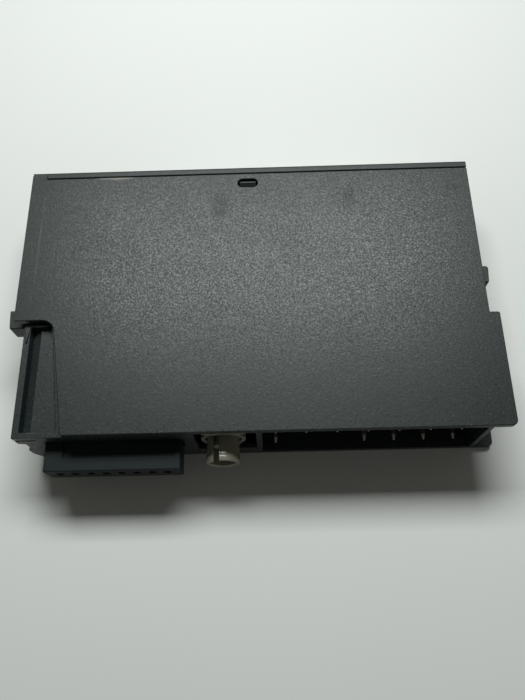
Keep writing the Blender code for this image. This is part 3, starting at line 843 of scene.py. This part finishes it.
def make_bus_contact(index, finish):
    """A tuning-fork contact whose upper edge runs on as a solder tail over the board."""
    node = f"bus_contact_{index + 1}"
    low, high = local_box(node)
    axis = (low.z + high.z) / 2
    tail = local_box("circuit_board")[1].z + 0.15
    tip = low.y - 0.15
    fork_end, body_end = -1.2, 4.2
    profile = rounded(
        [
            (tip, low.z, 0.1),
            (body_end, low.z, 0.15),
            (body_end, tail, 0.1),
            (high.y, tail, 0.05),
            (high.y, high.z, 0.15),
            (tip, high.z, 0.1),
            (tip + 0.3, high.z - 0.4, 0.1),
            (fork_end, axis + 0.15, 0.1),
            (fork_end, axis - 0.15, 0.1),
            (tip + 0.3, low.z + 0.4, 0.1),
        ]
    )
    made = shape(f"bus_fork_{index + 1}", solid(profile, low.x, high.x, "x", (0.04, 0.04)))
    show(made, finish, "module", "contact_metal", node)


def pin_nodes():
    return [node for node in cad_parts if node.startswith("contact_pin_")]


def make_carrier(finish):
    """The insulating wall behind the pins, with a hole and a raised collar for each pin."""
    low, high = local_box("pin_carrier")
    base = block(low.x, high.x, low.y, high.y, low.z, high.z, 0.15)
    half_collar, half_hole = 0.9, 0.4
    collar_rear, collar_front = low.y - 0.35, low.y + 0.5
    collars, holes = [], []
    for node in pin_nodes():
        a, b = local_box(node)
        x = (a.x + b.x) / 2
        z = a.z + HALF_PIN if "low" in node else b.z - HALF_PIN
        width = (x - half_collar, x + half_collar)
        height = (z - half_collar, z + half_collar)
        collars.append(block(*width, collar_rear, collar_front, *height, 0.15))
        hole = rectangle(x - half_hole, x + half_hole, z - half_hole, z + half_hole)
        holes.append(solid(hole, low.y - 1, high.y + 1, "y"))
    made = shape("carrier", base, ("UNION", *collars), ("DIFFERENCE", *holes))
    show(made, finish, "module", "connector", "pin_carrier")


def make_pin(node, finish):
    """A square pin with a tapered tip that steps towards the board and lies along it."""
    low, high = local_box(node)
    x = (low.x + high.x) / 2
    board_low, board_high = local_box("circuit_board")
    side = 1 if low.z > board_high.z else -1
    z = high.z - HALF_PIN if side > 0 else low.z + HALF_PIN
    seat = board_high.z + 0.15 if side > 0 else board_low.z - 0.15
    near, far = z - side * HALF_PIN, z + side * HALF_PIN
    taper, tip_width, half_tip = 0.9, 0.45, 0.13
    bend_rear, bend_front, foot = 9.2, 9.9, 0.5
    profile = [
        (low.y, z - side * half_tip, 0.05),
        (low.y + taper, near, 0.3),
        (bend_rear, near, 0.1),
        (bend_rear, seat, 0.05),
        (high.y, seat, 0.05),
        (high.y, seat + side * foot, 0.1),
        (bend_front, seat + side * foot, 0.2),
        (bend_front, far, 0.3),
        (low.y + taper, far, 0.3),
        (low.y, z + side * half_tip, 0.05),
    ]
    pin = solid(rounded(profile), low.x, high.x, "x", (0.05, 0.05))
    for vertex in pin.verts:
        reach = (vertex.co.y - low.y) / taper
        if reach < 1:
            vertex.co.x = x + (vertex.co.x - x) * (tip_width + (1 - tip_width) * reach)
    made = shape(node.replace("contact_pin", "pin"), pin)
    show(made, finish, "module", "contact_metal", node)


def make_key(finish):
    """The coding key: a tube with a slit along its top and a low bead around its mouth."""
    low, high = local_box("coding_key")
    x, z = (low.x + high.x) / 2, (low.z + high.z) / 2
    radius = (high.x - low.x) / 2
    length = high.y - low.y
    bore = mouth(circle(x, z, 2.0), high.y + 1, low.y, "y", radius=0.3)
    slit_x, half_slit, uncut = x - 0.95, 0.5, 1.2
    slit_front, slit_high = high.y - uncut, z + radius + 1
    slit = block(slit_x - half_slit, slit_x + half_slit, low.y - 1, slit_front, z, slit_high, 0.1)
    # Distance from the mouth, and how far the surface lies under the bead's crest
    rings = [(0, 0.3), (0.09, 0.09), (0.3, 0), (0.6, 0), (0.8, 0.03), (1.05, 0.09), (1.3, 0.14)]
    rings += [(1.6, 0.16), (length - 0.15, 0.16), (length, 0.31)]
    layers = [(circle(x, z, radius - step, 64), low.y + depth) for depth, step in rings]
    made = shape("key", loft(layers, "y"), ("DIFFERENCE", bore, slit))
    show(made, finish, "key", "key", "coding_key")


def make_key_base(finish):
    """The clip that carries the key: a ring between two wings, with a stub in its middle."""
    low, high = local_box("coding_base")
    key_low, key_high = local_box("coding_key")
    x, z = (key_low.x + key_high.x) / 2, (key_low.z + key_high.z) / 2
    rear = 0.5
    half_clip, wing_root = 2.7, 10.6
    ring_radius, bore_radius, stub_radius = 3.8, 3.05, 1.75
    wing = rounded(
        [
            (low.x, high.z, 0.15),
            (low.x, high.z - 0.4, 0.15),
            (x - half_clip, wing_root, 0.4),
            (x - half_clip, low.z, 0.3),
            (x + half_clip, low.z, 0.3),
            (x + half_clip, wing_root, 0.4),
            (high.x, high.z - 0.4, 0.15),
            (high.x, high.z, 0.15),
        ]
    )
    made = shape(
        "key_base",
        solid(wing, rear, high.y, "y", (0.12, 0.12)),
        ("UNION", solid(circle(x, z, ring_radius), rear, high.y, "y", (0.15, 0.15))),
        ("DIFFERENCE", mouth(circle(x, z, bore_radius), key_high.y + 0.3, rear, "y")),
        ("UNION", solid(circle(x, z, stub_radius), low.y, high.y - 0.6, "y", (0.25, 0))),
    )
    show(made, finish, "module", "key_base", "coding_base")


def make_label(finish):
    low, high = local_box("label_strip")
    outline = rectangle(low.x, high.x, low.z, high.z, 0.6)
    made = shape("label_card", solid(outline, low.y, high.y, "y", (0.06, 0.06)))
    show(made, finish, "label", "label", "label_strip")


def make_light_pipe(name, finish):
    """A clear bar from the lamp to the front, with a domed face."""
    node = f"light_pipe_{name}"
    low, high = local_box(node)
    outline = rectangle(low.x, high.x, low.z, high.z, 0.45)
    bar = solid(outline, low.y, high.y, "y", (0.1, 0.4), steps=4)
    show(shape(f"lens_{name}", bar), finish, "module", "light_pipe", node)


def make_floor(finish):
    made = linked("floor", bpy.data.meshes.new("floor"))
    mesh = bmesh.new()
    half_floor = 1.2
    bmesh.ops.create_grid(mesh, x_segments=2, y_segments=2, size=half_floor)
    mesh.to_mesh(made.data)
    mesh.free()
    made.data.materials.append(finish)


def make_camera():
    """The view from above the rear edge, tilted towards the front."""
    data = bpy.data.cameras.new("camera")
    data.lens = LENS
    data.clip_start = 0.01
    made = linked("camera", data)
    turn = Matrix.Rotation(math.radians(CAMERA_TURN), 4, "Z")
    tilt = Matrix.Rotation(math.radians(CAMERA_TILT), 4, "X")
    roll = Matrix.Rotation(math.radians(CAMERA_ROLL), 4, "Z")
    made.matrix_world = Matrix.Translation(CAMERA_PLACE) @ turn @ tilt @ roll
    bpy.context.scene.camera = made


def make_light(name, place, aim, size, power, colour):
    """A rectangular soft box that faces the point aim."""
    data = bpy.data.lights.new(name, "AREA")
    data.shape = "RECTANGLE"
    data.size, data.size_y = size
    data.energy = power
    data.color = colour
    made = linked(name, data)
    made.location = place
    made.rotation_euler = (Vector(place) - Vector(aim)).to_track_quat("Z", "Y").to_euler()


def make_surroundings():
    world = bpy.data.worlds.new("studio")
    bpy.context.scene.world = world
    world.use_nodes = True
    background = world.node_tree.nodes["Background"]
    background.inputs["Color"].default_value = (1.0, 1.0, 0.9, 1)
    background.inputs["Strength"].default_value = 0.068
    make_light(
        "key_light",
        place=(0, 0.143, 0.25),
        aim=(0, 0.03, 0),
        size=(0.22, 0.09),
        power=0.82,
        colour=(0.965, 1, 0.98),
    )
    make_light(
        "rear_fill",
        place=(0, -0.5, 0.16),
        aim=(0, 0, 0.01),
        size=(0.6, 0.2),
        power=0.04,
        colour=(1, 1, 0.95),
    )
    n = Nodes("pale_floor", Roughness=0.8)
    n.finish(n.blend(n.noise(30.0), (0.785, 0.80, 0.785), (0.80, 0.815, 0.80)))
    make_floor(n.material)
    bpy.context.scene.view_settings.view_transform = "Standard"


def make_looks():
    housing = housing_plastic("housing_plastic")
    worn = housing_plastic("housing_plastic_worn", used=True)
    smooth = housing_plastic("housing_plastic_smooth", grain_depth=0.005, roughness=(0.4, 0.5))
    metal = tin_metal()
    connector = connector_plastic()
    make_cover(worn)
    make_shell(housing)
    make_cap(smooth)
    make_latch("latch_arm_left", "latch_left", "left_latch", -1, smooth)
    make_latch("latch_arm_right", "latch_right", "right_latch", 1, smooth)
    make_bus_connector(connector)
    for i in range(CONTACTS):
        make_bus_contact(i, metal)
    make_carrier(connector)
    for node in pin_nodes():
        make_pin(node, metal)
    make_key(key_plastic())
    make_key_base(key_base_plastic())
    make_label(label_card())
    pipe = clear_plastic()
    for name in LAMP_NAMES:
        make_light_pipe(name, pipe)
    finish_inner_parts(metal)


def finish_inner_parts(metal):
    """Materials for the CAD nodes inside the housing, which keep their shapes."""
    epoxy = component_epoxy()
    finishes = {
        "circuit_board": board_laminate(),
        "crystal": metal,
        "lamp": lamp_resin(),
        "capacitor": component_can(),
    }
    inner = ("circuit_board", "crystal", "lamp_", "capacitor", "coil", "fuse")
    inner += ("logic_chip", "driver_chip", "optocoupler")
    for name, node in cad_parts.items():
        if not name.startswith(inner):
            continue
        found = [finish for word, finish in finishes.items() if name.startswith(word)]
        node.material_slots[0].material = found[0] if found else epoxy


def main():
    make_camera()
    make_surroundings()
    make_looks()


main()
